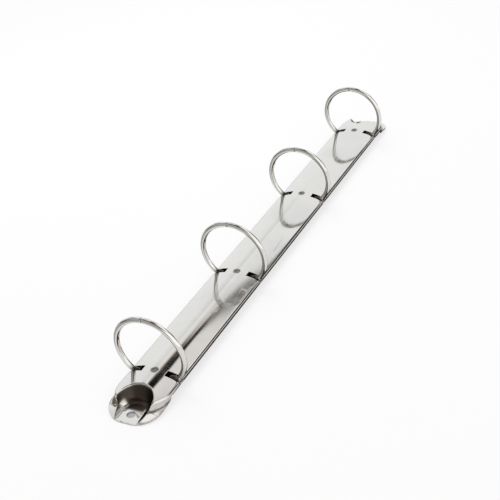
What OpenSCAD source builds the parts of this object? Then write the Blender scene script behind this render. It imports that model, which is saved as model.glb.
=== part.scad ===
// Four ring binder mechanism, pressed steel cover with two toggle leaves and eight half rings.
// The cover stands on the floors of its two end scoops, which are riveted to the spine of a binder.
// Units are millimetres. Y runs along the cover, Z is up, the origin is under the middle.

/* [Rings] */
// Distance from one ring to the next, the pitch of the punched holes in the paper
ring_pitch = 80; // [60:1:90]
// Inside diameter of a closed ring
ring_bore = 31.8; // [25:0.1:40]
// Diameter of the round wire
wire_d = 2.7; // [2.2:0.1:3.2]
// Height of the ring centre above the base
ring_centre_z = 18.2; // [16:0.1:22]
// Radius of the tight bend at the foot, on the wire's centre line
foot_bend_r = 2.6; // [2:0.1:4]
// Length of the straight foot that lies on the leaf
foot_l = 3.3; // [2.8:0.1:4]
// How much thinner the wire is drawn at the bend, and again at the foot
foot_swage = 0.1; // [0.05:0.05:0.2]
// Diameter of the tenon that goes through the leaf
tenon_d = 1.8; // [1.4:0.1:2.2]
// Diameter of the peened head under the leaf
head_d = 3; // [2.4:0.1:3.6]
// Thickness of the peened head
head_t = 0.4; // [0.3:0.05:0.6]
// Diameter of the locating point at the ring tips
tip_d = 1.7; // [1.2:0.1:2]
// Length of the locating point
tip_l = 0.8; // [0.4:0.1:1.2]
// Gap between the two tips of a closed ring
tip_gap = 0.2; // [0.05:0.05:0.3]

/* [Cover] */
// Whole length, from nose to nose
cover_l = 295; // [220:1:330]
// Width across the two sides
cover_w = 26.8; // [24:0.1:32]
// Height of the crown above the base
cover_h = 8; // [7.6:0.1:9.4]
// Thickness of the sheet
sheet_t = 0.7; // [0.5:0.05:0.9]
// Height of the lower edge of the sides above the base
edge_z = 3; // [2.6:0.1:3.4]
// Height of the straight part of the sides
side_h = 2.2; // [1.8:0.1:2.8]
// Outside radius of the bend between crown and side
shoulder_r = 1.2; // [0.9:0.1:1.4]
// Width of the lip turned in under the leaf edge, measured from the outside
lip_w = 1.9; // [1.5:0.1:2]
// How far the nose reaches past the rounded end of the crown
nose_l = 4.8; // [4:0.1:6]
// Radius of the nose's corners, seen from above
nose_corner_r = 11; // [9:0.5:12.5]
// Slope of the nose, falling from the sides of the cover to the base
nose_tilt = 7; // [5:0.5:8]
// Slope of the lands beside the scoop, falling to the edge of the nose
land_tilt = 13; // [8:1:20]

/* [Openings in the cover] */
// Width of a ring slot along the cover
slot_w = 3.6; // [3.2:0.1:4.4]
// Distance of the slot's inner end from the middle of the cover
slot_x = 6; // [5:0.1:7]
// Diameter of the dimple beside each ring
dimple_d = 4; // [3:0.1:5]
// Depth of the dimple
dimple_h = 0.5; // [0.3:0.05:0.6]
// Diameter of the rivet hole in a scoop
rivet_hole_d = 4.2; // [3:0.1:5]
// Distance of the rivet hole from the end of the nose
rivet_inset = 5.3; // [4:0.1:7]
// Radius of the scoop at the height of the crown
scoop_rim_r = 10.2; // [9.6:0.1:10.6]
// Radius of the scoop's flat floor
scoop_floor_r = 4.5; // [3.5:0.1:5]
// Distance of the scoop's centre from the end of the nose
scoop_inset = 7.7; // [7:0.1:8.5]

/* [Leaves] */
// Thickness of a leaf
leaf_t = 0.8; // [0.6:0.05:1]
// Length of a leaf
leaf_l = 254; // [180:1:256]
// Slope of a leaf, falling to the middle, when the rings are closed
closed_tilt = 7; // [5:0.5:8]
// Number of fingers along the middle, both leaves together
finger_count = 12; // [8:2:16]
// Reach of a finger past the middle line
finger_reach = 1.2; // [0.8:0.1:2]
// Clearance round each finger
finger_gap = 0.3; // [0.2:0.05:0.5]

/* [Fits] */
// Clearance between the edge of a leaf and the cover
edge_gap = 0.15; // [0.1:0.05:0.25]
// Clearance between a tenon and its hole, on the radius
tenon_gap = 0.05; // [0.02:0.01:0.1]
// Clearance where a foot or a head bears on the leaf
seat_gap = 0.02; // [0.01:0.01:0.05]

/* [Hidden] */
$fn = 64;
ring_count = 4;
eps = 0.01;
lots = 400;
half_w = cover_w / 2;
half_l = cover_l / 2;
// Crown
crown_edge_z = edge_z + side_h;
crown_rise = cover_h - crown_edge_z;
crown_r = (half_w * half_w + crown_rise * crown_rise) / (2 * crown_rise);
crown_z = cover_h - crown_r;
round_y = half_l - nose_l - half_w;
nose_y = half_l - nose_corner_r;
nose_flat = half_w - nose_corner_r;
land_h = nose_corner_r * tan(land_tilt);
rivet_y = half_l - rivet_inset;
// Ball that forms the scoop: level with the floor at its radius, and with the crown at the rim
scoop_y = half_l - scoop_inset;
scoop_h = cover_h - sheet_t;
ball_z = (cover_h + sheet_t + (scoop_rim_r * scoop_rim_r - scoop_floor_r * scoop_floor_r) / scoop_h) / 2;
ball_r = sqrt((ball_z - sheet_t) * (ball_z - sheet_t) + scoop_floor_r * scoop_floor_r);
lip_end_y = round_y - 2;
dimple_r = (dimple_d * dimple_d / 4 + dimple_h * dimple_h) / (2 * dimple_h);
dimple_z = cover_h - dimple_h + dimple_r;
// Leaves
leaf_r = leaf_t / 2;
pivot_x = half_w - sheet_t - edge_gap - leaf_r;
pivot_z = edge_z + sheet_t + edge_gap + leaf_r;
leaf_w = pivot_x / cos(closed_tilt);
finger_pitch = leaf_l / finger_count;
// Rings
wire_r = wire_d / 2;
ring_r = ring_bore / 2 + wire_r;
bend_d = wire_d - foot_swage;
foot_d = bend_d - foot_swage;
joint_l = 0.3;
foot_h = leaf_r + seat_gap + foot_d / 2;
centre_h = pivot_x * sin(closed_tilt) + (ring_centre_z - pivot_z) * cos(closed_tilt);
arc_end = closed_tilt + asin((foot_h + foot_bend_r - centre_h) / (ring_r - foot_bend_r));
bend_start = closed_tilt - 90;
bend_end = arc_end + joint_l / foot_bend_r * 180 / PI;
bend_x = (ring_r - foot_bend_r) * cos(arc_end);
bend_z = ring_centre_z + (ring_r - foot_bend_r) * sin(arc_end);
tip_turn = tip_gap / 2 / ring_r * 180 / PI;
tenon_s = foot_l - head_d / 2 + tenon_d / 4;
tenon_top = foot_h;
head_top = -leaf_r - seat_gap;
first_ring_y = -ring_pitch * (ring_count - 1) / 2;

function ring_y(i) = first_ring_y + ring_pitch * (i - 1);

// Distance from the pivot to the tenon, measured along the leaf
foot_start_s = (pivot_x - bend_x) * cos(closed_tilt) - (bend_z - pivot_z) * sin(closed_tilt);
tenon_at = foot_start_s + tenon_s;

// Half of the crown's section, drawn in X and Z, smaller by the inset
module half_section(inset) {
    r = crown_r - inset;
    w = half_w - inset;
    s = max(shoulder_r - inset, 0.2);
    sx = w - s;
    sz = crown_z + sqrt((r - s) * (r - s) - sx * sx);
    turn = atan2(sz - crown_z, sx);
    difference() {
        intersection() {
            translate([0, crown_z]) circle(r = r, $fn = 720);
            square([w, lots]);
        }
        polygon([[sx, sz], [lots, sz], [lots, lots], [sx + lots * cos(turn), sz + lots * sin(turn)]]);
    }
    translate([sx, sz]) circle(r = s);
}

// Section of the crown from side to side
module section(inset) {
    half_section(inset);
    mirror([1, 0]) half_section(inset);
}

// Long block with the crown's section, rounded at both ends in plan
module crown_block(inset, low) {
    intersection() {
        rotate([90, 0, 0]) linear_extrude(height = lots, center = true) section(inset);
        translate([0, 0, low]) linear_extrude(height = cover_h - low + 1) crown_plan(inset);
    }
}

// Outline of the crown seen from above
module crown_plan(inset) {
    square([cover_w - 2 * inset, 2 * round_y], center = true);
    for (side = [-1, 1]) translate([0, side * round_y]) circle(r = half_w - inset, $fn = 128);
}

// Hollow of one scoop, the path of a ball that leaves through the end of the nose, at the +Y end
module scoop_cut(grow, low) {
    intersection() {
        translate([0, scoop_y, ball_z]) {
            sphere(r = ball_r + grow, $fn = 96);
            rotate([-90, 0, 0]) cylinder(r = ball_r + grow, h = scoop_inset + 1, $fn = 96);
        }
        translate([-lots / 2, 0, low]) cube([lots, lots, lots]);
    }
}

// Outline of the nose seen from above, at the +Y end
module nose_plan() {
    translate([-half_w, round_y]) square([cover_w, nose_y - round_y]);
    translate([-nose_flat, round_y]) square([2 * nose_flat, half_l - round_y]);
    for (side = [-1, 1]) translate([side * nose_flat, nose_y]) circle(r = nose_corner_r, $fn = 128);
}

// Space under the top of the nose, which falls to its end and to its edge, lowered by the drop
module under_nose(drop) {
    low_r = nose_corner_r + 1 / tan(land_tilt);
    translate([0, half_l, sheet_t - drop]) rotate([-nose_tilt, 0, 0]) {
        translate([-lots / 2, -lots / 2, -lots]) cube([lots, lots, lots]);
        translate([0, -nose_corner_r, 0]) {
            for (side = [-1, 1])
                translate([side * nose_flat, 0, -1]) cylinder(r1 = low_r, r2 = 0, h = land_h + 1, $fn = 128);
            rotate([90, 0, 0]) linear_extrude(height = half_w)
                polygon([[-nose_flat - low_r, -1], [nose_flat + low_r, -1],
                    [nose_flat, land_h], [-nose_flat, land_h]]);
            rotate([90, 0, 90]) linear_extrude(height = 2 * nose_flat, center = true)
                polygon([[-1, -1], [low_r, -1], [0, land_h], [-1, land_h]]);
        }
    }
}

// Solid nose with its sloping top, at the +Y end
module nose_block() {
    intersection() {
        linear_extrude(height = cover_h) nose_plan();
        under_nose(0);
    }
}

// Slots for the two halves of one ring
module ring_slots() {
    for (side = [-1, 1])
        translate([side > 0 ? slot_x : -slot_x - lots, -slot_w / 2, edge_z + sheet_t])
            cube([lots, slot_w, lots]);
}

// Nose, end wall and scoop, at the +Y end
module cover_end() {
    difference() {
        union() {
            difference() {
                union() {
                    nose_block();
                    intersection() {
                        crown_block(0, 0);
                        translate([-half_w, round_y, 0]) cube([cover_w, lots, crown_edge_z]);
                    }
                }
                under_nose(sheet_t);
                translate([0, 0, -eps]) linear_extrude(height = lots) crown_plan(sheet_t);
            }
            intersection() {
                scoop_cut(sheet_t, 0);
                union() {
                    crown_block(0, 0);
                    nose_block();
                }
            }
        }
        scoop_cut(0, sheet_t);
        translate([0, rivet_y, -eps]) cylinder(d = rivet_hole_d, h = sheet_t + 2 * eps);
    }
}

// Pressed cover
module cover() {
    color("silver") {
        difference() {
            union() {
                difference() {
                    crown_block(0, edge_z);
                    crown_block(sheet_t, edge_z - 1);
                }
                for (i = [1 : ring_count]) intersection() {
                    translate([0, ring_y(i), dimple_z]) sphere(r = dimple_r + sheet_t);
                    crown_block(0, crown_edge_z);
                }
                for (side = [-1, 1])
                    translate([side > 0 ? half_w - lip_w : -half_w, -lip_end_y, edge_z])
                        cube([lip_w, 2 * lip_end_y, sheet_t]);
            }
            for (i = [1 : ring_count]) translate([0, ring_y(i), 0]) {
                ring_slots();
                translate([0, 0, dimple_z]) sphere(r = dimple_r);
            }
            scoop_cut(0, sheet_t);
            mirror([0, 1, 0]) scoop_cut(0, sheet_t);
        }
        cover_end();
        mirror([0, 1, 0]) cover_end();
    }
}

// One leaf lying flat with its pivot on the Y axis, reaching to -X
module flat_leaf(first) {
    difference() {
        union() {
            translate([-leaf_w + finger_gap / 2, -leaf_l / 2, -leaf_r])
                cube([leaf_w - finger_gap / 2, leaf_l, leaf_t]);
            rotate([90, 0, 0]) cylinder(r = leaf_r, h = leaf_l, center = true, $fn = 32);
            for (i = [first : 2 : finger_count - 1])
                translate([-leaf_w - finger_reach, -leaf_l / 2 + i * finger_pitch + finger_gap / 2, -leaf_r])
                    cube([finger_reach + 1, finger_pitch - finger_gap, leaf_t]);
        }
        for (i = [1 - first : 2 : finger_count - 1])
            translate([-leaf_w - 1, -leaf_l / 2 + i * finger_pitch - finger_gap / 2, -leaf_t])
                cube([finger_reach + finger_gap + 1, finger_pitch + finger_gap, 2 * leaf_t]);
        for (i = [1 : ring_count])
            translate([-tenon_at, ring_y(i), 0])
                cylinder(r = tenon_d / 2 + tenon_gap, h = 2 * leaf_t, center = true);
    }
}

// Leaf on the +X side, closed
module right_leaf() {
    color("gainsboro") translate([pivot_x, 0, pivot_z]) rotate([0, -closed_tilt, 0]) flat_leaf(0);
}

// Leaf on the -X side, closed
module left_leaf() {
    color("gainsboro") mirror([1, 0, 0]) translate([pivot_x, 0, pivot_z])
        rotate([0, -closed_tilt, 0]) flat_leaf(1);
}

// Round wire bent to a circle in the XZ plane, from one angle to another
module wire_arc(radius, thick, from, to) {
    rotate([90, 0, 0]) rotate([0, 0, from]) rotate_extrude(angle = to - from, $fn = 128)
        translate([radius, 0]) circle(d = thick, $fn = 48);
}

// Bent wire with foot, tenon and head, on the +X side
module bent_wire() {
    translate([0, 0, ring_centre_z]) wire_arc(ring_r, wire_d, arc_end, 90 - tip_turn);
    translate([bend_x, 0, bend_z]) wire_arc(foot_bend_r, bend_d, bend_start, bend_end);
    translate([pivot_x, 0, pivot_z]) rotate([0, -closed_tilt, 0]) {
        translate([joint_l - foot_start_s, 0, foot_h]) rotate([0, -90, 0])
            cylinder(d = foot_d, h = foot_l + joint_l, $fn = 48);
        translate([-tenon_at, 0, head_top - head_t / 2])
            cylinder(d = tenon_d, h = tenon_top - head_top + head_t / 2, $fn = 32);
        translate([-tenon_at, 0, head_top - head_t])
            cylinder(d1 = tenon_d, d2 = head_d, h = head_t, $fn = 32);
    }
}

// Half ring on the +X side, with a socket in its tip
module right_half_ring(i) {
    color("lightgray") translate([0, ring_y(i), 0]) difference() {
        bent_wire();
        translate([-tip_gap, 0, ring_centre_z + ring_r]) rotate([0, 90, 0])
            cylinder(d1 = tip_d + 3 * tip_gap, d2 = tip_d / 2 + 3 * tip_gap, h = tip_l + tip_gap, $fn = 32);
    }
}

// Half ring on the -X side, with a locating point on its tip
module left_half_ring(i) {
    color("lightgray") translate([0, ring_y(i), 0]) {
        mirror([1, 0, 0]) bent_wire();
        translate([-tip_gap, 0, ring_centre_z + ring_r]) rotate([0, 90, 0])
            cylinder(d1 = tip_d, d2 = tip_d / 2, h = tip_l, $fn = 32);
    }
}

cover();
left_leaf();
right_leaf();
left_half_ring(1);  // left_half_ring_1
left_half_ring(2);  // left_half_ring_2
left_half_ring(3);  // left_half_ring_3
left_half_ring(4);  // left_half_ring_4
right_half_ring(1);  // right_half_ring_1
right_half_ring(2);  // right_half_ring_2
right_half_ring(3);  // right_half_ring_3
right_half_ring(4);  // right_half_ring_4
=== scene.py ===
import bpy
import bmesh
import math
from mathutils import Matrix, Vector


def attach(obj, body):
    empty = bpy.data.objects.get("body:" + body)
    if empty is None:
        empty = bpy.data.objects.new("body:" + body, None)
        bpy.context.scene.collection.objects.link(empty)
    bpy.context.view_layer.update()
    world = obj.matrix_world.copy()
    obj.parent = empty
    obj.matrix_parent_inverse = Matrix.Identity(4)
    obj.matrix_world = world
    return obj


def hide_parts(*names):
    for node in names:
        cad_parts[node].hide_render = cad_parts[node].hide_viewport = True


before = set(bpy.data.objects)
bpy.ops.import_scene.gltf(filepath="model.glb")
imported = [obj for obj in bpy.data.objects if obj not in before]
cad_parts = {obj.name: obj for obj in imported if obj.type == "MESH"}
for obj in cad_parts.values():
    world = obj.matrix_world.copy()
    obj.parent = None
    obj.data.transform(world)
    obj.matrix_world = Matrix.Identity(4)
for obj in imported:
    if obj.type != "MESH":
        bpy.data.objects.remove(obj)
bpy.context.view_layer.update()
mm = 0.001
ringPlaces = [-120.0, -40.0, 40.0, 120.0]   # along Y, in mm, near ring first
print("frame loaded")


# small helpers for the node trees

def newTree(name):
    material = bpy.data.materials.new(name)
    material.use_nodes = True
    tree = material.node_tree
    tree.nodes.clear()
    output = tree.nodes.new("ShaderNodeOutputMaterial")
    return material, tree, output


def addNode(tree, kind, **settings):
    node = tree.nodes.new(kind)
    for key, value in settings.items():
        setattr(node, key, value)
    return node


def join(tree, source, target):
    tree.links.new(source, target)


def rampBetween(tree, source, low, high, lowValue, highValue):
    ramp = addNode(tree, "ShaderNodeMapRange", interpolation_type="SMOOTHSTEP")
    ramp.inputs["From Min"].default_value = low
    ramp.inputs["From Max"].default_value = high
    ramp.inputs["To Min"].default_value = lowValue
    ramp.inputs["To Max"].default_value = highValue
    join(tree, source, ramp.inputs["Value"])
    return ramp.outputs["Result"]


def mathNode(tree, operation, a, b):
    node = addNode(tree, "ShaderNodeMath", operation=operation)
    for socket, value in zip(node.inputs, (a, b)):
        if isinstance(value, (int, float)):
            socket.default_value = value
        else:
            join(tree, value, socket)
    return node.outputs[0]


def bandBetween(tree, source, start, full, fade, stop):
    # rises from start to full, falls from fade to stop
    rising = rampBetween(tree, source, start, full, 0.0, 1.0)
    falling = rampBetween(tree, source, fade, stop, 1.0, 0.0)
    return mathNode(tree, "MULTIPLY", rising, falling)


def mixColour(tree, base, colour, factor):
    mix = addNode(tree, "ShaderNodeMix", data_type="RGBA")
    for name, value in (("A", base), ("B", colour)):
        if isinstance(value, tuple):
            mix.inputs[name].default_value = (*value, 1.0)
        else:
            join(tree, value, mix.inputs[name])
    join(tree, factor, mix.inputs["Factor"])
    return mix.outputs["Result"]


def mixShader(tree, first, second, factor):
    mix = addNode(tree, "ShaderNodeMixShader")
    join(tree, factor, mix.inputs["Fac"])
    join(tree, first, mix.inputs[1])
    join(tree, second, mix.inputs[2])
    return mix.outputs["Shader"]


def glow(tree, kind, colour, strength=1.0):
    node = addNode(tree, kind)
    if isinstance(colour, tuple):
        node.inputs["Color"].default_value = (*colour, 1.0)
    else:
        join(tree, colour, node.inputs["Color"])
    node.inputs["Strength"].default_value = strength
    return node.outputs[0]


def noiseNode(tree, place, scale, detail):
    node = addNode(tree, "ShaderNodeTexNoise")
    node.inputs["Scale"].default_value = scale
    node.inputs["Detail"].default_value = detail
    join(tree, place, node.inputs["Vector"])
    return node.outputs["Fac"]


def stretched(tree, place, scale, turn=0.0):
    node = addNode(tree, "ShaderNodeMapping")
    node.inputs["Rotation"].default_value = (0.0, 0.0, math.radians(turn))
    node.inputs["Scale"].default_value = scale
    join(tree, place, node.inputs["Vector"])
    return node.outputs["Vector"]


def bumpNode(tree, height, strength, distance, under=None):
    node = addNode(tree, "ShaderNodeBump")
    node.inputs["Strength"].default_value = strength
    node.inputs["Distance"].default_value = distance
    join(tree, height, node.inputs["Height"])
    if under is not None:
        join(tree, under, node.inputs["Normal"])
    return node.outputs["Normal"]


# nickel plating: drawing lines along the strip, wipe marks, slow waves in the sheet

# each bright finish has a darker tone for painted shade; on the cover it also draws a faint darker line along the crown
brightCover = {"name": "nickelCover", "tint": (0.69, 0.675, 0.645), "shade": (0.65, 0.642, 0.625),
               "roughLow": 0.035, "roughHigh": 0.095, "lineScale": (900.0, 12.0, 900.0), "lineDepth": 0.012,
               "waveScale": 38.0, "waveDepth": 0.10, "shadeAndLineTone": (0.036, 0.024, 0.015), "shadeAndLineRough": 0.28}
brightWire = {"name": "nickelWire", "tint": (0.76, 0.748, 0.722), "shade": (0.70, 0.69, 0.67),
              "roughLow": 0.05, "roughHigh": 0.12, "lineScale": (260.0, 1400.0, 260.0), "lineDepth": 0.02,
              "waveScale": 120.0, "waveDepth": 0.05, "shadeAndLineTone": (0.07, 0.062, 0.055), "shadeAndLineRough": 0.25}
# the leaves are dull, and darker than the cover as painted shade so the slots read dark
dullShadedLeaf = {"name": "nickelLeaf", "tint": (0.40, 0.39, 0.375), "shade": (0.30, 0.292, 0.28),
            "roughLow": 0.22, "roughHigh": 0.4, "lineScale": (1300.0, 20.0, 1300.0), "lineDepth": 0.08,
            "waveScale": 60.0, "waveDepth": 0.05}

# what all three finishes share; pairs are where a mark starts and where it is full
marks = {"lineNoise": 4.0, "lineDetail": 3.0, "lineSpan": (0.3, 0.7), "lineRough": 0.03, "lineHeight": 0.00004,
         "cloudScale": 55.0, "cloudDetail": 4.0, "toneSpan": (0.35, 0.7), "wipeSpan": (0.3, 0.7),
         "scuffTurn": 24.0, "scuffStretch": (650.0, 45.0, 300.0), "scuffCells": 0.6, "scuffWidth": 0.012,
         "scuffSpan": (0.5, 0.62), "scuffRough": 0.12, "waveDetail": 1.0, "waveHeight": 0.00012}


def platedSteel(look):
    material, tree, output = newTree(look["name"])
    place = addNode(tree, "ShaderNodeTexCoord").outputs["Object"]
    surface = addNode(tree, "ShaderNodeBsdfPrincipled")
    surface.inputs["Metallic"].default_value = 1.0
    join(tree, surface.outputs["BSDF"], output.inputs["Surface"])

    # fine lines left by the rolls, and patches that were wiped more or less
    lines = noiseNode(tree, stretched(tree, place, look["lineScale"]), marks["lineNoise"], marks["lineDetail"])
    clouds = noiseNode(tree, place, marks["cloudScale"], marks["cloudDetail"])

    # sparse hairline scuffs
    scuffs = addNode(tree, "ShaderNodeTexVoronoi", feature="DISTANCE_TO_EDGE")
    scuffs.inputs["Scale"].default_value = marks["scuffCells"]
    scuffPlace = stretched(tree, place, marks["scuffStretch"], marks["scuffTurn"])
    join(tree, scuffPlace, scuffs.inputs["Vector"])
    scuffLine = rampBetween(tree, scuffs.outputs["Distance"], 0.0, marks["scuffWidth"], 1.0, 0.0)
    scuffMask = rampBetween(tree, clouds, *marks["scuffSpan"], 0.0, 1.0)
    scuffAmount = mathNode(tree, "MULTIPLY", scuffLine, scuffMask)

    cloudShare = rampBetween(tree, clouds, *marks["toneSpan"], 0.0, 1.0)
    tone = mixColour(tree, look["tint"], look["shade"], cloudShare)
    wiped = rampBetween(tree, clouds, *marks["wipeSpan"], look["roughLow"], look["roughHigh"])
    rolled = rampBetween(tree, lines, *marks["lineSpan"], 0.0, marks["lineRough"])
    rough = mathNode(tree, "ADD", wiped, rolled)
    rough = mathNode(tree, "ADD", rough, mathNode(tree, "MULTIPLY", scuffAmount, marks["scuffRough"]))
    if "shadeAndLineTone" in look:       # painted shade in the scoops, dimples, end wall feet and wire roots, and a faint darker line on the crown
        shadeAndLine = addNode(tree, "ShaderNodeAttribute", attribute_name="paintedShadeAndLine").outputs["Fac"]
        tone = mixColour(tree, tone, look["shadeAndLineTone"], shadeAndLine)
        rough = mathNode(tree, "ADD", rough, mathNode(tree, "MULTIPLY", shadeAndLine, look["shadeAndLineRough"]))
    join(tree, tone, surface.inputs["Base Color"])
    join(tree, rough, surface.inputs["Roughness"])

    # slow waves of the pressed sheet, with the lines and scuffs on top
    waves = noiseNode(tree, place, look["waveScale"], marks["waveDetail"])
    waveBump = bumpNode(tree, waves, look["waveDepth"], marks["waveHeight"])
    fine = mathNode(tree, "SUBTRACT", lines, scuffAmount)
    lineBump = bumpNode(tree, fine, look["lineDepth"], marks["lineHeight"], waveBump)
    join(tree, lineBump, surface.inputs["Normal"])
    return material


coverFinish = platedSteel(brightCover)
wireFinish = platedSteel(brightWire)
leafFinish = platedSteel(dullShadedLeaf)
print("plating ready")


def finishedObject(name, mesh, material, sharpAngle=38.0):
    mesh.materials.append(material)
    for polygon in mesh.polygons:
        polygon.use_smooth = True
    mesh.set_sharp_from_angle(angle=math.radians(sharpAngle))
    thing = bpy.data.objects.new(name, mesh)
    bpy.context.scene.collection.objects.link(thing)
    return thing


def settled(thing):
    # bakes the modifiers into the mesh
    graph = bpy.context.evaluated_depsgraph_get()
    mesh = bpy.data.meshes.new_from_object(thing.evaluated_get(graph))
    old = thing.data
    thing.modifiers.clear()
    thing.data = mesh
    bpy.data.meshes.remove(old)
    return mesh


# the pressed cover, drawn section by section along Y, in mm and degrees

sheetShape = {"halfWidth": 13.4, "halfLength": 147.5, "crown": 8.0, "edge": 3.0, "side": 2.2, "sheet": 0.7,
              "sideLean": 6.0, "leanFade": 8.0, "shoulder": 1.0, "lip": 1.9, "lipEnd": 127.3,
              "noseReach": 4.8, "noseCorner": 11.0, "noseTilt": 7.0, "noseFillet": 0.5, "noseRoll": 0.3,
              "skirtSlope": 13.0, "skirtRim": 6.0, "skirtWall": 19.0, "skirtReach": 5.0,
              "slotWidth": 3.6, "slotInner": 6.0,
              "dimpleRadius": 2.0, "dimpleDepth": 0.6, "dimpleRoll": 0.12, "dimpleReach": 1.1,
              "holeRadius": 2.1, "holeInset": 5.3, "holeCatch": 1.25,
              "scoopRim": 10.2, "scoopSlope": 66.5, "scoopBend": 4.0, "scoopInset": 7.7, "scoopOver": 3.0,
              "rimRoll": 0.7, "hornEnd": 0.25, "hornRoll": 0.45, "filletWidth": 0.6, "filletHeight": 0.4,
              "edgeBevel": 0.07, "bevelAngle": 55.0}

# how finely it is drawn: points round the half section, and steps along Y
sheetGrid = {"half": 28, "crest": 7, "wall": 3, "low": 5, "flat": 8,
             "ringStep": 0.35, "ringSteps": 7, "ringClear": 2.6, "longStep": 6.0,
             "endStep": 0.24, "noseSteps": 60, "tooClose": 0.01, "merge": 0.004, "sliver": 0.003, "lipSlack": 0.02}

# where shade is painted on the cover: scoops, dimples and the foot of the end walls, with a faint darker line along the
# crown; pairs are where that starts and where it is full
shadeAndLinePlaces = {"scoop": 0.96, "bowlSkin": (0.1, 0.4), "wallFrom": 0.8, "wallFade": 2.4,
              "floorFade": (-0.6, 1.4), "rimFade": (0.25, 0.9), "endFrom": 1.0,
              "spotTurn": 76.0, "spotTurnWidth": 15.0, "spotReach": 6.2, "spotReachWidth": 1.7,
              "spotShine": 0.97, "spotEnd": (-0.2, 1.0),
              "foot": 0.75, "footStart": (-0.1, 0.1), "footFade": (0.3, 1.2), "footHeight": 0.5,
              "dimple": 0.7, "dimpleFade": (0.75, 1.15), "skin": 0.05,
              "line": 0.12, "lineStart": (-3.2, 0.0), "lineStop": (0.3, 0.9), "lineFade": (-10.0, 70.0)}


def softMin(a, b, width):
    h = max(width - abs(a - b), 0.0) / width
    return min(a, b) - h * h * width / 4


def softMax(a, b, width):
    return -softMin(-a, -b, width)


def ease(value, low, high):
    share = min(max((value - low) / (high - low), 0.0), 1.0)
    return share * share * (3 - 2 * share)


def slope(angle):
    return math.tan(math.radians(angle))


def bezierCorner(start, corner, end, steps):
    points = []
    for i in range(1, steps + 1):
        t = i / steps
        points.append(tuple((1 - t) ** 2 * s + 2 * t * (1 - t) * c + t * t * e
                            for s, c, e in zip(start, corner, end)))
    return points


def fromRing(x, y):
    return min(math.hypot(x, y - p) for p in ringPlaces)


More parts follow.
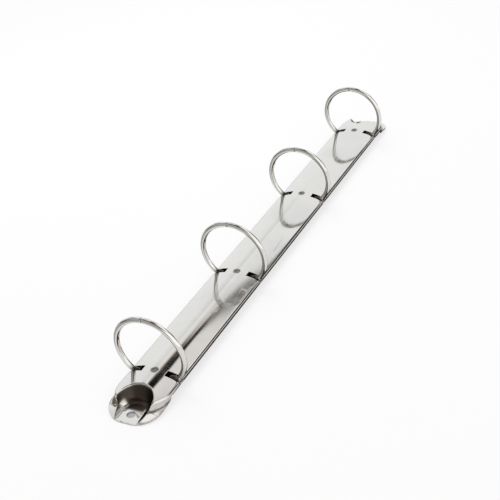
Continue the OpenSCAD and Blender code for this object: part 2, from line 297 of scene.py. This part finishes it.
def makeCover(s, grid, shadeAndLineSpots):
    width, crown, sheet = s["halfWidth"], s["crown"], s["sheet"]
    rise = crown - s["edge"] - s["side"]
    crownRadius = (width * width + rise * rise) / (2 * rise)
    crownCentre = crown - crownRadius
    roundY = s["halfLength"] - s["noseReach"] - width
    noseY = s["halfLength"] - s["noseCorner"]
    scoopY = s["halfLength"] - s["scoopInset"]
    holeY = s["halfLength"] - s["holeInset"]
    lipTop = s["edge"] + sheet
    noseSlope, lean = slope(s["noseTilt"]), slope(s["sideLean"])
    skirtSlope, rimSlope, wallSlope = (slope(s[k]) for k in ("skirtSlope", "skirtRim", "skirtWall"))
    crestSteps, wallSteps, lowSteps, flatSteps = (grid[k] for k in ("crest", "wall", "low", "flat"))

    # the scoop has a flat floor, a round bend and a straight wall
    steep = math.radians(s["scoopSlope"])
    bendHeight = sheet + s["scoopBend"]
    wallFoot = bendHeight - s["scoopBend"] * math.cos(steep)
    wallFootReach = s["scoopRim"] - (crown - wallFoot) / math.tan(steep)
    floorReach = wallFootReach - s["scoopBend"] * math.sin(steep)

    def arch(x):
        return crownCentre + math.sqrt(crownRadius * crownRadius - x * x)

    def bowlHeight(x, y):
        reach = math.hypot(x, max(scoopY - y, 0.0))
        if reach <= floorReach:
            return sheet
        if reach <= wallFootReach:
            return bendHeight - math.sqrt(s["scoopBend"] ** 2 - (reach - floorReach) ** 2)
        return min(wallFoot + (reach - wallFootReach) * math.tan(steep), crown + s["scoopOver"])

    def noseHeight(x, y):
        inward = width - abs(x)
        if y > noseY:
            inward = s["noseCorner"] - math.hypot(max(abs(x) - width + s["noseCorner"], 0.0), y - noseY)
        inward = max(inward, 0.0)
        curve = min(inward, s["skirtReach"])
        bend = (wallSlope - rimSlope) * curve * curve / (2 * s["skirtReach"])
        skirt = rimSlope * curve + bend + skirtSlope * (inward - curve)
        return sheet + noseSlope * (s["halfLength"] - y) + skirt

    def topHeight(x, y):
        return softMin(arch(x), bowlHeight(x, y), s["rimRoll"])

    def dimple(x, y):
        d = fromRing(x, y) / s["dimpleRadius"]
        if d >= s["dimpleReach"]:
            return 0.0
        return softMax(s["dimpleDepth"] * (1 - d * d), 0.0, s["dimpleRoll"])

    # places across the crown, with a line on the inner end of the slots
    crownEnd = width - s["shoulder"]
    half = grid["half"]
    inner = [s["slotInner"] * i / half for i in range(half)]
    outer = [s["slotInner"] + (crownEnd - s["slotInner"]) * i / half for i in range(half + 1)]
    across = [x / crownEnd for x in inner + outer]
    sectionCount = len(across) + crestSteps + wallSteps + lowSteps + flatSteps

    def straightHalf(y):
        points = [(f * crownEnd, arch(f * crownEnd) - dimple(f * crownEnd, y)) for f in across]
        corner = (width, arch(width))
        fade = min(max((s["lipEnd"] - abs(y)) / s["leanFade"], 0.0), 1.0)      # upright where the nose begins

        def side(z):
            return width - fade * lean * max(corner[1] - z, 0.0)

        top = corner[1] - s["shoulder"]
        points += bezierCorner(points[-1], corner, (side(top), top), crestSteps)
        for i in range(1, wallSteps + 1):
            z = top + (lipTop - top) * i / wallSteps
            points.append((side(z), z))
        foot = side(s["edge"])
        lipStart, lipStop = foot - sheet, width - s["lip"]
        points += bezierCorner((side(lipTop), lipTop), (foot, s["edge"]), (lipStart, s["edge"]), lowSteps)
        for i in range(1, flatSteps + 1):
            points.append((lipStart + (lipStop - lipStart) * i / flatSteps, s["edge"]))
        return points

    straightTop = straightHalf(roundY)[len(across) + crestSteps - 1][1]

    def endHalf(y):
        outline = width
        if y > noseY:
            cornerWidth = math.sqrt(max(s["noseCorner"] ** 2 - (y - noseY) ** 2, 0.0))
            outline = width - s["noseCorner"] + cornerWidth
        inside = width * width - (y - roundY) ** 2
        wallX = math.sqrt(inside) if inside > 0 else 0.0
        base = noseHeight(wallX, y)
        height = topHeight(wallX, y) - base if wallX > 0 else 0.0
        if height < s["hornEnd"]:       # past the horns there is only the nose and the floor of the scoop
            places = [outline * i / (sectionCount - 1) for i in range(sectionCount)]
            return [(x, softMin(noseHeight(x, y), bowlHeight(x, y), s["noseRoll"])) for x in places]
        roll = min(s["shoulder"], s["hornRoll"] * height)
        points = [(f * (wallX - roll), topHeight(f * (wallX - roll), y)) for f in across]
        corner = (wallX, topHeight(wallX, y))
        points += bezierCorner(points[-1], corner, (wallX, corner[1] - roll), crestSteps)
        top = points[-1][1]
        fillet = min(s["noseFillet"], s["filletWidth"] * (outline - wallX), s["filletHeight"] * height)
        fillet = max(fillet, 0.0)
        floorTop = base + fillet
        low = noseHeight(width, roundY)
        stop = floorTop + (top - floorTop) * (lipTop - low) / (straightTop - low)
        points += [(wallX, top + (stop - top) * i / wallSteps) for i in range(1, wallSteps + 1)]
        foot = (wallX + fillet, noseHeight(wallX + fillet, y))
        points += bezierCorner((wallX, stop), (wallX, base), foot, lowSteps)
        for i in range(1, flatSteps + 1):
            x = foot[0] + (outline - foot[0]) * i / flatSteps
            points.append((x, noseHeight(x, y)))
        return points

    # stations along Y: close together at the rings and at the two ends
    stations = {-roundY, -s["lipEnd"], s["lipEnd"], roundY}
    for p in ringPlaces:
        ringSteps = range(-grid["ringSteps"], grid["ringSteps"] + 1)
        stations.update(round(p + d * grid["ringStep"], 4) for d in ringSteps)
        stations.update((p - s["slotWidth"] / 2, p + s["slotWidth"] / 2))
    for i in range(int(2 * s["lipEnd"] / grid["longStep"]) + 1):
        y = -s["lipEnd"] + i * grid["longStep"]
        if fromRing(0.0, y) > grid["ringClear"]:
            stations.add(round(y, 4))
    straight = sorted(stations)
    ends = [roundY + i * grid["endStep"] for i in range(int((noseY - roundY) / grid["endStep"]) + 1)]
    noseStart = 0 if noseY - ends[-1] > grid["tooClose"] else 1
    for i in range(noseStart, grid["noseSteps"] + 1):
        ends.append(noseY + s["noseCorner"] * math.sin(math.radians(90) * i / grid["noseSteps"]))

    shell = bmesh.new()

    def addPatch(places, halfSection, sign, keep):
        rows = []
        for y in places:
            section = halfSection(y)
            full = [(-x, z) for x, z in reversed(section[1:])] + section
            rows.append([shell.verts.new((x * mm, sign * y * mm, z * mm)) for x, z in full])
        for a, b in zip(rows, rows[1:]):
            if sign < 0:
                a, b = b, a
            for i in range(len(a) - 1):
                corners = (a[i], a[i + 1], b[i + 1], b[i])
                middle = sum((v.co for v in corners), Vector()) / 4 / mm
                if keep(middle):
                    shell.faces.new(corners)

    def keepStraight(c):
        nearRing = fromRing(0.0, c.y) < s["slotWidth"] / 2
        if nearRing and abs(c.x) > s["slotInner"] and c.z > lipTop:
            return False
        return not (abs(c.y) > s["lipEnd"] and c.z < lipTop - grid["lipSlack"])

    def keepEnd(c):
        return math.hypot(c.x, abs(c.y) - holeY) > s["holeRadius"]

    addPatch(straight, straightHalf, 1, keepStraight)
    addPatch(ends, endHalf, 1, keepEnd)
    addPatch(ends, endHalf, -1, keepEnd)
    bmesh.ops.remove_doubles(shell, verts=shell.verts, dist=grid["merge"] * mm)
    bmesh.ops.dissolve_degenerate(shell, edges=shell.edges, dist=grid["sliver"] * mm)
    loose = [v for v in shell.verts if not v.link_faces]
    bmesh.ops.delete(shell, geom=loose, context="VERTS")
    for v in shell.verts:                       # true circles for the rivet holes
        reach = math.hypot(v.co.x, abs(v.co.y) - holeY * mm)
        if v.is_boundary and reach < s["holeCatch"] * s["holeRadius"] * mm:
            scale = s["holeRadius"] * mm / reach
            v.co.x *= scale
            v.co.y = math.copysign(holeY * mm + (abs(v.co.y) - holeY * mm) * scale, v.co.y)
    bmesh.ops.recalc_face_normals(shell, faces=shell.faces)
    crownFace = max(shell.faces, key=lambda f: f.calc_center_median().z)
    if crownFace.normal.z < 0:
        bmesh.ops.reverse_faces(shell, faces=shell.faces)

    mesh = bpy.data.meshes.new("pressedCover")
    shell.to_mesh(mesh)
    shell.free()
    thing = bpy.data.objects.new("pressedCover", mesh)
    bpy.context.scene.collection.objects.link(thing)
    thick = thing.modifiers.new("thick", "SOLIDIFY")
    thick.thickness = sheet * mm
    thick.offset = -1.0
    edges = thing.modifiers.new("edges", "BEVEL")
    edges.width = s["edgeBevel"] * mm
    edges.segments = 2
    edges.limit_method = "ANGLE"
    edges.angle_limit = math.radians(s["bevelAngle"])
    mesh = settled(thing)
    bpy.data.objects.remove(thing)
    for v in mesh.vertices:                     # the scoop floors lie flat on the table
        v.co.z = max(v.co.z, 0.0)

    # painted shade on the scoop's wall and on its floor behind the hole, left off one spot in the bend so the mirrored
    # window shows there as a highlight
    def scoopShade(x, far, z):
        inward = max(scoopY - far, 0.0)
        reach = math.hypot(x, inward)
        wallStart = floorReach + shadeAndLineSpots["wallFrom"]
        onWall = ease(reach, wallStart, wallStart + shadeAndLineSpots["wallFade"])
        onFloor = ease(scoopY - far, *shadeAndLineSpots["floorFade"])                 # only behind the hole
        turn = math.degrees(math.atan2(abs(x), inward))
        turnAway = (turn - shadeAndLineSpots["spotTurn"]) / shadeAndLineSpots["spotTurnWidth"]
        reachAway = (reach - shadeAndLineSpots["spotReach"]) / shadeAndLineSpots["spotReachWidth"]
        highlightSpot = math.exp(-turnAway ** 4 - reachAway ** 4) * (1 - ease(far - scoopY, *shadeAndLineSpots["spotEnd"]))
        unshaded = 1 - shadeAndLineSpots["spotShine"] * highlightSpot
        return shadeAndLineSpots["scoop"] * unshaded * max(onWall, onFloor) * ease(arch(x) - z, *shadeAndLineSpots["rimFade"])

    # painted shade for the scoops, the foot of the end walls and the dimples, and a faint darker line along the crown
    def shadeAndLineAt(x, y, z):
        far = abs(y)
        if far > roundY - shadeAndLineSpots["endFrom"]:
            onBowl = 1 - ease(abs(z - bowlHeight(x, far)), *shadeAndLineSpots["bowlSkin"])
            if onBowl > 0:
                return onBowl * scoopShade(x, far, z)
            if z >= noseHeight(x, far) + shadeAndLineSpots["footHeight"]:
                return 0.0
            outside = math.hypot(x, far - roundY) - width                 # painted shade at the foot of the end wall
            return shadeAndLineSpots["foot"] * ease(outside, *shadeAndLineSpots["footStart"]) * (1 - ease(outside, *shadeAndLineSpots["footFade"]))
        if z < arch(x) - s["dimpleDepth"] - shadeAndLineSpots["skin"]:
            return 0.0
        # painted shade in the dimples, and a faint darker line along the middle of the crown that fades along Y
        inDimple = 1 - ease(fromRing(x, y) / s["dimpleRadius"], *shadeAndLineSpots["dimpleFade"])
        onLine = ease(x, *shadeAndLineSpots["lineStart"]) * (1 - ease(x, *shadeAndLineSpots["lineStop"]))
        line = shadeAndLineSpots["line"] * onLine * (1 - ease(y, *shadeAndLineSpots["lineFade"]))
        return max(shadeAndLineSpots["dimple"] * inDimple, line)

    shadeAndLine = mesh.attributes.new("paintedShadeAndLine", "FLOAT", "POINT")
    shadeAndLine.data.foreach_set("value", [shadeAndLineAt(*(v.co / mm)) for v in mesh.vertices])
    return finishedObject("pressedCover", mesh, coverFinish)


cover = makeCover(sheetShape, sheetGrid, shadeAndLinePlaces)
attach(cover, "cover")
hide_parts("cover")
print("cover pressed:", len(cover.data.polygons), "faces")


# the half rings, swept along their bent path, in mm and degrees

wireShape = {"wire": 1.35, "swage": 0.05, "ringRadius": 17.25, "ringCentre": 18.2, "bendRadius": 2.6,
             "footLength": 3.3, "tilt": 7.0, "pivotX": 12.15, "pivotZ": 4.25, "leafHalf": 0.4, "seat": 0.02,
             "tipGap": 0.2, "tipChamfer": 0.3, "tipRound": (0.0, 0.35, 0.7),
             "pointRadius": 0.7, "pointLength": 0.8, "pointRoot": 0.02,
             "pointProfile": ((-1.0, 0.35), (-0.93, 0.5)),             # shares of its length and radius
             "socketDeeper": 0.1, "socketWider": 0.15, "socketFloor": 0.6,
             "footRound": ((0.3, 0.0), (0.12, 0.06), (0.0, 0.28)),     # back from the end, and inward
             "tenon": 0.9, "tenonTop": ((0.2, 0.8), (0.4, 1.0)),       # depth, share of its radius
             "head": 1.5, "headDepth": 0.4, "headStep": 0.01,
             "headProfile": ((0.0, 0.97), (0.25, 1.0), (0.625, 0.9), (0.875, 0.72), (1.0, 0.4)),
             # the root span below is where painted shade covers the wire inside the slot
             "rootShadeSpan": (11.0, 12.8), "rootTop": 10.0,
             "sides": 28, "arcSteps": 90, "bendSteps": 14, "footSteps": 5}


def wirePath(w):
    tilt = math.radians(w["tilt"])
    radius, bend, centre = w["ringRadius"], w["bendRadius"], w["ringCentre"]
    footRadius = w["wire"] - 2 * w["swage"]
    footHeight = w["leafHalf"] + w["seat"] + footRadius
    centreHeight = w["pivotX"] * math.sin(tilt) + (centre - w["pivotZ"]) * math.cos(tilt)
    arcEnd = tilt + math.asin((footHeight + bend - centreHeight) / (radius - bend))
    arcStart = math.pi / 2 - w["tipGap"] / radius
    bendX = (radius - bend) * math.cos(arcEnd)
    bendZ = centre + (radius - bend) * math.sin(arcEnd)
    bendStop = tilt - math.pi / 2
    path = []          # x, z, direction x, direction z, wire radius
    for i in range(w["arcSteps"] + 1):
        a = arcStart + (arcEnd - arcStart) * i / w["arcSteps"]
        c, s = math.cos(a), math.sin(a)
        path.append((radius * c, centre + radius * s, s, -c, w["wire"]))
    for i in range(1, w["bendSteps"] + 1):
        a = arcEnd + (bendStop - arcEnd) * i / w["bendSteps"]
        c, s = math.cos(a), math.sin(a)
        path.append((bendX + bend * c, bendZ + bend * s, s, -c, w["wire"] - w["swage"] * 2 * i / w["bendSteps"]))
    x, z = path[-1][0], path[-1][1]
    dx, dz = -math.cos(tilt), -math.sin(tilt)
    for i in range(1, w["footSteps"] + 1):
        reach = w["footLength"] * i / w["footSteps"]
        path.append((x + dx * reach, z + dz * reach, dx, dz, footRadius))
    tenonReach = w["footLength"] - w["head"] + w["tenon"] / 2
    tenonTop = (x + dx * tenonReach, z + dz * tenonReach)
    return path, tenonTop, (dx, dz), footHeight


def makeHalfRing(name, side, place, hasPoint, w):
    path, tenonTop, footDirection, footHeight = wirePath(w)
    ring = bmesh.new()
    sides = w["sides"]

    def hoop(x, z, dx, dz, radius):
        up = Vector((-dz, 0.0, dx))
        verts = []
        for k in range(sides):
            t = 2 * math.pi * k / sides
            hoopX = side * (x + up.x * radius * math.cos(t))
            hoopZ = z + up.z * radius * math.cos(t)
            verts.append(ring.verts.new((hoopX * mm, (place + radius * math.sin(t)) * mm, hoopZ * mm)))
        return verts

    def bridge(hoops):
        for a, b in zip(hoops, hoops[1:]):
            for k in range(sides):
                n = (k + 1) % sides
                ring.faces.new((a[k], a[n], b[n], b[k]))
        ring.faces.new(list(reversed(hoops[0])))
        ring.faces.new(hoops[-1])

    hoops = []
    x, z, dx, dz, radius = path[0]
    length, point = w["pointLength"], w["pointRadius"]
    if hasPoint:        # a small cone that finds the socket of the other half
        tip = [(length * part, point * share) for part, share in w["pointProfile"]]
        tip.append((-w["pointRoot"], point))
    else:
        tip = [(length + w["socketDeeper"], point * w["socketFloor"]), (0.0, point + w["socketWider"])]
    for ahead, tipRadius in tip:
        hoops.append(hoop(x + dx * ahead, z + dz * ahead, dx, dz, tipRadius))
    for share in w["tipRound"]:         # rounded edge of the tip
        ahead = w["tipChamfer"] * (1 - math.sqrt(1 - share * share))
        hoops.append(hoop(x + dx * ahead, z + dz * ahead, dx, dz, radius - w["tipChamfer"] * (1 - share)))
    for x, z, dx, dz, radius in path[1:-1]:
        hoops.append(hoop(x, z, dx, dz, radius))
    x, z, dx, dz, radius = path[-1]
    for back, inset in w["footRound"]:  # rounded end of the foot
        hoops.append(hoop(x - dx * back, z - dz * back, dx, dz, radius - inset))
    bridge(hoops)

    # tenon through the leaf, closed by a peened head
    dx, dz = footDirection
    down = (dz, dx)
    tenon, head = w["tenon"], w["head"]
    bottom = footHeight + w["leafHalf"] + w["seat"]
    profile = [(depth, tenon * share) for depth, share in w["tenonTop"]]
    profile.append((bottom - w["headStep"], tenon))
    profile += [(bottom + w["headDepth"] * part, head * share) for part, share in w["headProfile"]]
    bridge([hoop(tenonTop[0] + down[0] * depth, tenonTop[1] + down[1] * depth, *down, r) for depth, r in profile])
    bmesh.ops.recalc_face_normals(ring, faces=ring.faces)
    mesh = bpy.data.meshes.new(name)
    ring.to_mesh(mesh)
    ring.free()

    low, high = w["rootShadeSpan"]

    def paintedRootShade(spot):
        # painted shade on the root inside the slot
        if spot.z >= w["rootTop"] * mm:
            return 0.0
        return min(max((high - abs(spot.x) / mm) / (high - low), 0.0), 1.0)

    shadeAndLine = mesh.attributes.new("paintedShadeAndLine", "FLOAT", "POINT")
    shadeAndLine.data.foreach_set("value", [paintedRootShade(v.co) for v in mesh.vertices])
    return finishedObject(name, mesh, wireFinish)


for index, place in enumerate(ringPlaces, 1):
    for sideName, side in (("left", -1), ("right", 1)):
        half = makeHalfRing("%sHalfRing%d" % (sideName, index), side, place, side < 0, wireShape)
        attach(half, sideName)
        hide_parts("%s_half_ring_%d" % (sideName, index))
print("half rings bent")

for leafName in ("left_leaf", "right_leaf"):
    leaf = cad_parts[leafName]
    leaf.data.materials.clear()
    leaf.data.materials.append(leafFinish)
print("leaves finished")


# table, light and camera, in metres

studio = {"tableSize": 3.0, "tableLevel": -0.00005, "tableColour": (0.86, 0.86, 0.86),
          # the darker under colour is painted shade on the table under the cover
          "underShadeColour": (0.44, 0.445, 0.46), "underShadeX": (0.004, 0.009), "underShadeY": (0.1445, 0.147),
          "whiteShare": 0.72, "white": (1.0, 1.0, 1.0), "softLight": 0.7,
          "keySize": 0.6, "keyPower": 3.0, "keyPlace": (-0.25, 0.2, 0.75),
          "fillSize": 0.9, "fillPower": 1.2, "fillPlace": (0.7, -0.3, 0.8),
          # the strip colour and the left dimming are painted shadow and shade, seen only in reflections
          "shadowStripColour": (0.06, 0.055, 0.05), "stripX": (-0.002, 0.0, 0.022, 0.023),
          "stripY": (-0.126, -0.114, 0.155, 0.167), "leftShade": (-0.05, -0.022, 0.55)}


def makeTable():
    side, level = studio["tableSize"] / 2, studio["tableLevel"]
    corners = [(-side, -side, level), (side, -side, level), (side, side, level), (-side, side, level)]
    mesh = bpy.data.meshes.new("table")
    mesh.from_pydata(corners, [], [(0, 1, 2, 3)])
    table = bpy.data.objects.new("table", mesh)
    bpy.context.scene.collection.objects.link(table)
    material, tree, output = newTree("paleTable")
    rays = addNode(tree, "ShaderNodeLightPath")
    spot = addNode(tree, "ShaderNodeSeparateXYZ")
    join(tree, addNode(tree, "ShaderNodeTexCoord").outputs["Object"], spot.inputs["Vector"])

    # pale everywhere, with painted shade on the table under the cover, seen through the rivet holes
    openX = rampBetween(tree, mathNode(tree, "ABSOLUTE", spot.outputs["X"], 0.0), *studio["underShadeX"], 0.0, 1.0)
    openY = rampBetween(tree, mathNode(tree, "ABSOLUTE", spot.outputs["Y"], 0.0), *studio["underShadeY"], 0.0, 1.0)
    whiteness = mathNode(tree, "MULTIPLY", mathNode(tree, "MAXIMUM", openX, openY), studio["whiteShare"])
    openShare = rampBetween(tree, whiteness, 0.0, studio["whiteShare"], 0.0, 1.0)
    matte = addNode(tree, "ShaderNodeBsdfDiffuse")
    join(tree, mixColour(tree, studio["underShadeColour"], studio["tableColour"], openShare), matte.inputs["Color"])
    white = glow(tree, "ShaderNodeEmission", studio["white"])
    whiteSeen = mathNode(tree, "MULTIPLY", rays.outputs["Is Camera Ray"], whiteness)
    pale = mixShader(tree, matte.outputs["BSDF"], white, whiteSeen)

    # a painted shadow on a strip beside the cover, seen only by the plating so its side wall mirrors it dark, and
    # painted shade on the table to the left, also only in reflections
    paintedShadow = glow(tree, "ShaderNodeEmission", studio["shadowStripColour"])
    acrossStrip = bandBetween(tree, spot.outputs["X"], *studio["stripX"])
    alongStrip = bandBetween(tree, spot.outputs["Y"], *studio["stripY"])
    inPaintedShade = mathNode(tree, "MULTIPLY", acrossStrip, alongStrip)
    left, leftEnd, leftShare = studio["leftShade"]
    inPaintedShade = mathNode(tree, "MAXIMUM", inPaintedShade, rampBetween(tree, spot.outputs["X"], left, leftEnd, leftShare, 0.0))
    paintedShadeSeen = mathNode(tree, "MULTIPLY", rays.outputs["Is Glossy Ray"], inPaintedShade)
    join(tree, mixShader(tree, pale, paintedShadow, paintedShadeSeen), output.inputs["Surface"])
    mesh.materials.append(material)


def makeLamp(name, place, size, power):
    data = bpy.data.lights.new(name, "AREA")
    data.shape = "SQUARE"
    data.size = size
    data.energy = power
    lamp = bpy.data.objects.new(name, data)
    lamp.location = place
    lamp.rotation_euler = (Vector((0, 0, 0)) - Vector(place)).to_track_quat("-Z", "Y").to_euler()
    lamp.visible_glossy = False      # the plating mirrors the room instead
    bpy.context.scene.collection.objects.link(lamp)


# what the plating mirrors: a white sweep in front with a dark top edge, a pale wall above it, grey behind
room = {"sweep": (1.08, 1.095, 1.11), "wall": (0.985, 0.972, 0.968), "peach": (0.90, 0.79, 0.70),
        "window": (1.28, 1.265, 1.23), "dim": (0.17, 0.14, 0.11), "dark": (0.12, 0.108, 0.096),
        "back": (0.52, 0.51, 0.49), "gap": (0.06, 0.052, 0.045), "edge": (0.07, 0.056, 0.044),
        "shadow": (0.012, 0.01, 0.008), "nearEdge": (-0.448, 0.572, -0.687),
        "topEdge": (-0.055, 0.719, -0.693), "sideEdge": (-0.4258, 0.6542, -0.6253),
        "sweepSoft": (-1.0, 2.0), "sweepLeft": (-86.0, -76.0)}

# colour, heading from and to, rise from and to, softness, all in degrees
behindSweep = [("dim", 46.0, 160.0, 40.0, 54.0, 5.0),
               ("back", 164.0, 200.0, 4.0, 48.0, 8.0),         # grey wall behind the camera
               ("back", -200.0, -112.0, 4.0, 48.0, 8.0),
               ("window", 46.0, 160.0, -6.0, 45.0, 4.0),       # lamp panel on the right
               ("wall", -92.0, 48.0, 20.0, 58.0, 6.0),
               ("window", -78.0, -24.0, 63.0, 80.0, 3.0),      # small panel overhead
               ("window", 22.0, 112.0, 42.0, 80.0, 4.0)]       # and one that lights the bend of the scoop
frontOfSweep = [("gap", 14.0, 56.0, 2.0, 40.0, 2.5),           # dark gap on the right, for the shoulder
                ("dim", -76.0, -57.5, 16.0, 36.0, 1.5)]        # dark doorway on the left

# colour, degrees inside the sweep's edge from and to, softness, heading from and to, softness, share
edgeBands = [("peach", 1.0, 6.0, 2.5, -38.0, -25.0, 3.0, 0.8),
             ("edge", -1.25, 1.25, 0.8, -36.0, 44.0, 3.0, 1.0),
             ("shadow", -3.9, 2.0, 1.2, -38.0, -21.5, 2.0, 1.0),
             ("shadow", 0.0, 4.0, 1.5, -38.0, -28.5, 2.0, 1.0)]


def makeWorld():
    world = bpy.data.worlds.new("studioWorld")
    bpy.context.scene.world = world
    world.use_nodes = True
    tree = world.node_tree
    tree.nodes.clear()
    output = addNode(tree, "ShaderNodeOutputWorld")
    direction = addNode(tree, "ShaderNodeTexCoord").outputs["Generated"]
    spread = addNode(tree, "ShaderNodeSeparateXYZ")
    join(tree, direction, spread.inputs["Vector"])

    def inDegrees(angle):
        return mathNode(tree, "MULTIPLY", angle, math.degrees(1.0))

    def angleTo(axis):
        dot = addNode(tree, "ShaderNodeVectorMath", operation="DOT_PRODUCT")
        dot.inputs[1].default_value = Vector(axis).normalized()
        join(tree, direction, dot.inputs[0])
        return inDegrees(mathNode(tree, "ARCSINE", dot.outputs["Value"], 0.0))

    def between(value, low, high, soft):
        return bandBetween(tree, value, low - soft, low + soft, high - soft, high + soft)

    heading = inDegrees(mathNode(tree, "ARCTAN2", spread.outputs["X"], spread.outputs["Y"]))   # 0 along Y, 90 along X
    rise = inDegrees(mathNode(tree, "ARCSINE", spread.outputs["Z"], 0.0))
    upperEdge = mathNode(tree, "MAXIMUM", angleTo(room["nearEdge"]), angleTo(room["topEdge"]))
    fromEdge = mathNode(tree, "MINIMUM", upperEdge, angleTo(room["sideEdge"]))   # degrees inside the sweep

    def withZones(seen, zones):
        for colour, left, right, bottom, top, soft in zones:
            inZone = mathNode(tree, "MULTIPLY", between(heading, left, right, soft), between(rise, bottom, top, soft))
            seen = mixColour(tree, seen, room[colour], inZone)
        return seen

    seen = withZones(room["dark"], behindSweep)
    insideEdge = rampBetween(tree, fromEdge, *room["sweepSoft"], 0.0, 1.0)
    rightOfEnd = rampBetween(tree, heading, *room["sweepLeft"], 0.0, 1.0)
    seen = mixColour(tree, seen, room["sweep"], mathNode(tree, "MULTIPLY", insideEdge, rightOfEnd))
    seen = withZones(seen, frontOfSweep)
    for colour, low, high, soft, left, right, sideSoft, share in edgeBands:
        inBand = mathNode(tree, "MULTIPLY", between(fromEdge, low, high, soft), between(heading, left, right, sideSoft))
        seen = mixColour(tree, seen, room[colour], mathNode(tree, "MULTIPLY", inBand, share))

    rays = addNode(tree, "ShaderNodeLightPath")
    byPlating = mathNode(tree, "MAXIMUM", rays.outputs["Is Glossy Ray"], rays.outputs["Is Transmission Ray"])
    mirrored = glow(tree, "ShaderNodeBackground", seen)
    soft = glow(tree, "ShaderNodeBackground", studio["white"], studio["softLight"])
    white = glow(tree, "ShaderNodeBackground", studio["white"])
    light = mixShader(tree, soft, mirrored, byPlating)
    join(tree, mixShader(tree, light, white, rays.outputs["Is Camera Ray"]), output.inputs["Surface"])


photoCamera = {"place": (0.22404, -0.38258, 0.27529), "yaw": -32.01, "pitch": 32.059, "roll": 9.682,
               "focal": 970.0, "frameSize": 500.0, "sensor": 36.0, "clip": (0.01, 20.0)}


def makeCamera(c):
    yaw, pitch, roll = (math.radians(c[k]) for k in ("yaw", "pitch", "roll"))
    forward = Vector((math.sin(yaw) * math.cos(pitch), math.cos(yaw) * math.cos(pitch), -math.sin(pitch)))
    right = Vector((math.cos(yaw), -math.sin(yaw), 0.0))
    down = forward.cross(right)
    across = right * math.cos(roll) + down * math.sin(roll)
    below = down * math.cos(roll) - right * math.sin(roll)
    data = bpy.data.cameras.new("photoCamera")
    data.sensor_width = c["sensor"]
    data.lens = c["sensor"] * c["focal"] / c["frameSize"]
    data.clip_start, data.clip_end = c["clip"]
    camera = bpy.data.objects.new("photoCamera", data)
    turn = Matrix((across, -below, -forward)).transposed()
    camera.matrix_world = Matrix.Translation(Vector(c["place"])) @ turn.to_4x4()
    bpy.context.scene.collection.objects.link(camera)
    bpy.context.scene.camera = camera


makeTable()
makeLamp("keyPanel", studio["keyPlace"], studio["keySize"], studio["keyPower"])
makeLamp("fillPanel", studio["fillPlace"], studio["fillSize"], studio["fillPower"])
makeWorld()
makeCamera(photoCamera)
bpy.context.scene.view_settings.view_transform = "Standard"
print("studio ready")
